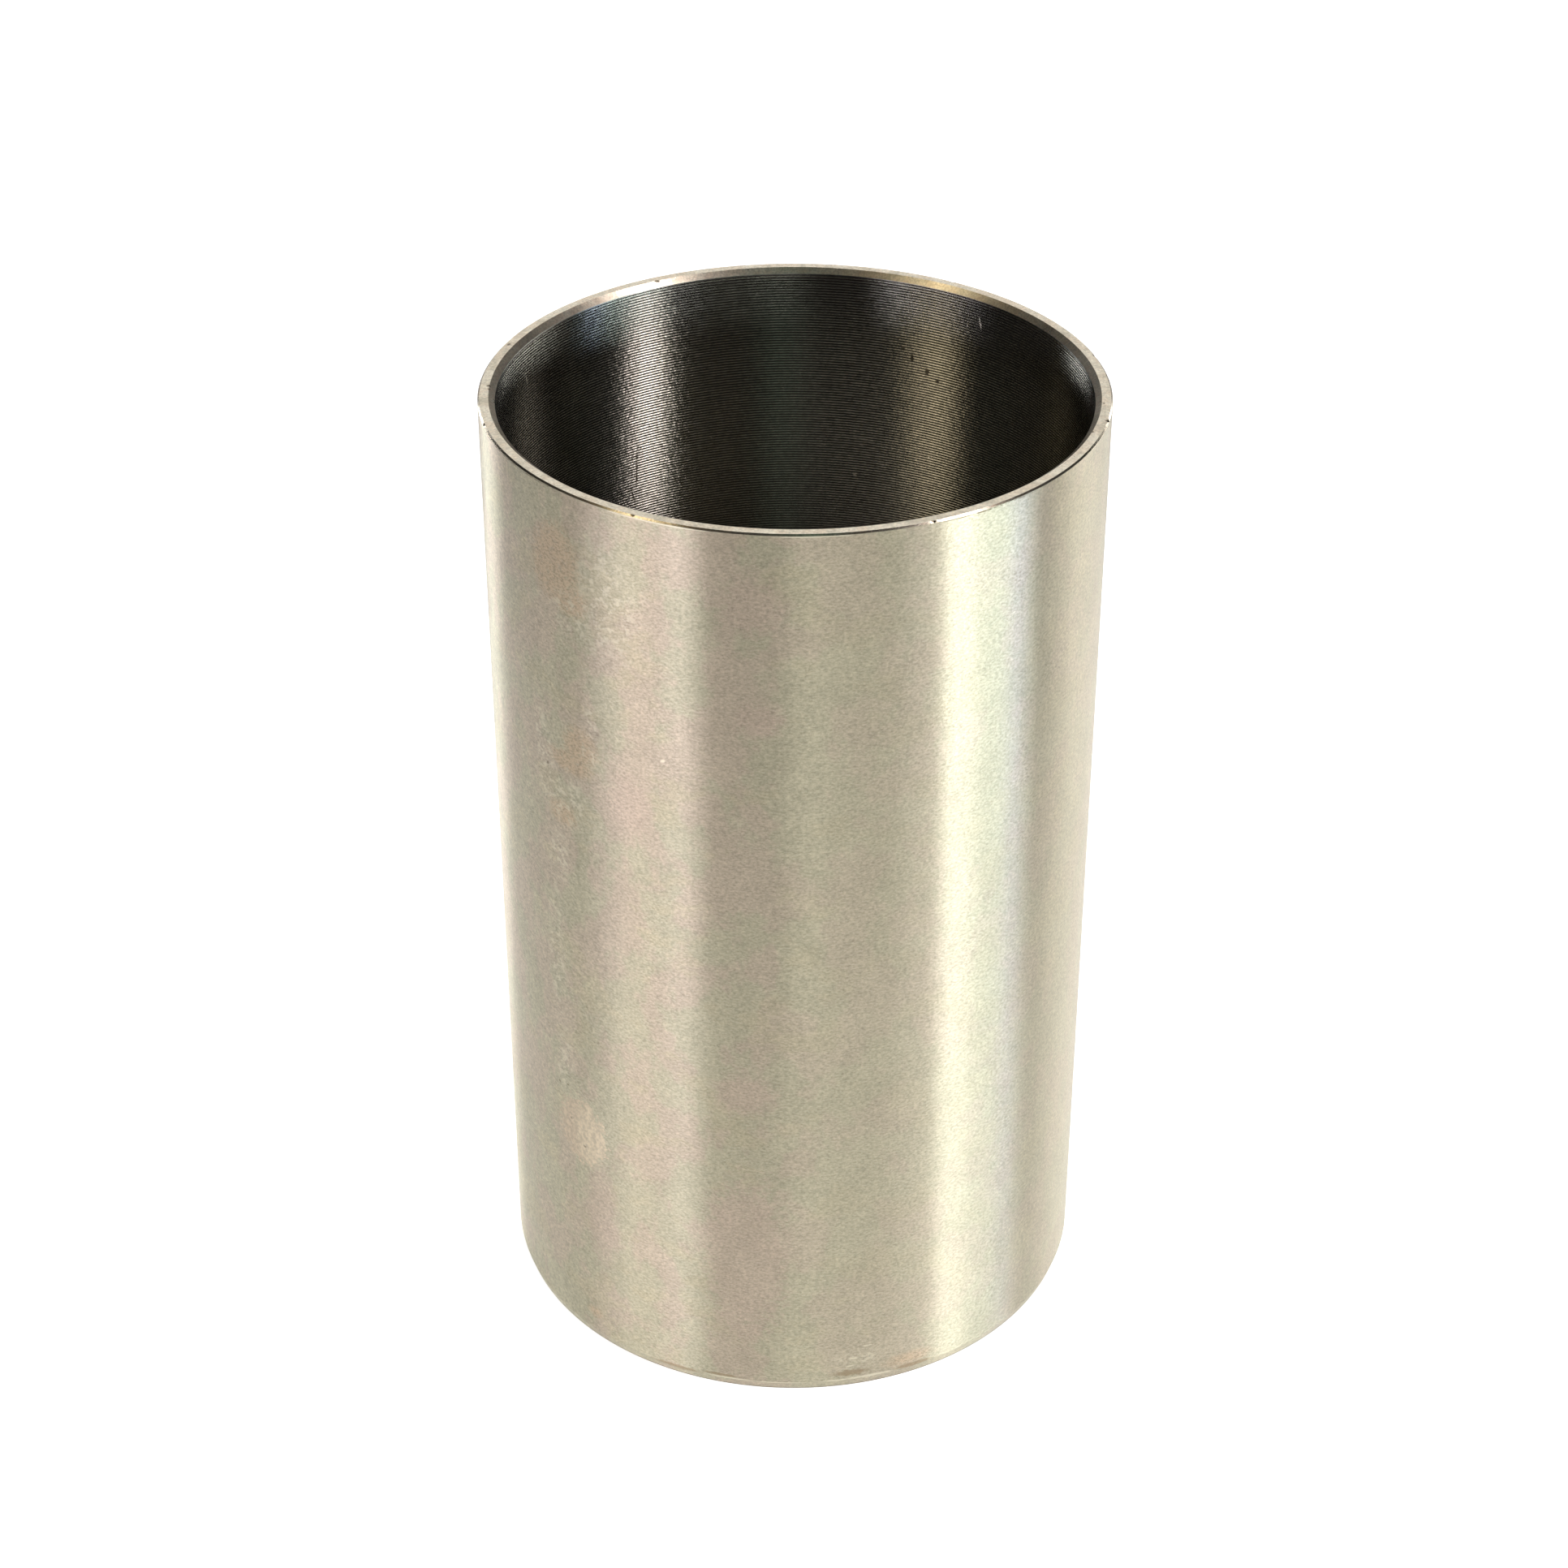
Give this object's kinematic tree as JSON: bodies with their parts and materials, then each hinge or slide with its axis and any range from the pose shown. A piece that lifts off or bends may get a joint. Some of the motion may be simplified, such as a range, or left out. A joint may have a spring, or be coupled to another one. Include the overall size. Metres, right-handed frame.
{
  "type": "cylinder liner",
  "caption": "Flangeless dry cylinder liner: a thin cast-iron sleeve with a ground outer wall, a rough-bored inside and a lead-in cone at each end.",
  "frame": {"origin": "centre of the bottom face, on the bore's axis", "axes": "+Z along the bore, from the foot with the slim outer lead-in cone towards the top face with the wide inner lead-in cone; X and Y are free, because the liner is round"},
  "size_m": [0.093, 0.093, 0.1535],
  "materials": {
    "liner_iron": "ground satin outside, rough bored and darker inside"
  },
  "bodies": {
    "root": {"cylinder_liner": "liner_iron"}
  },
  "joints": []
}
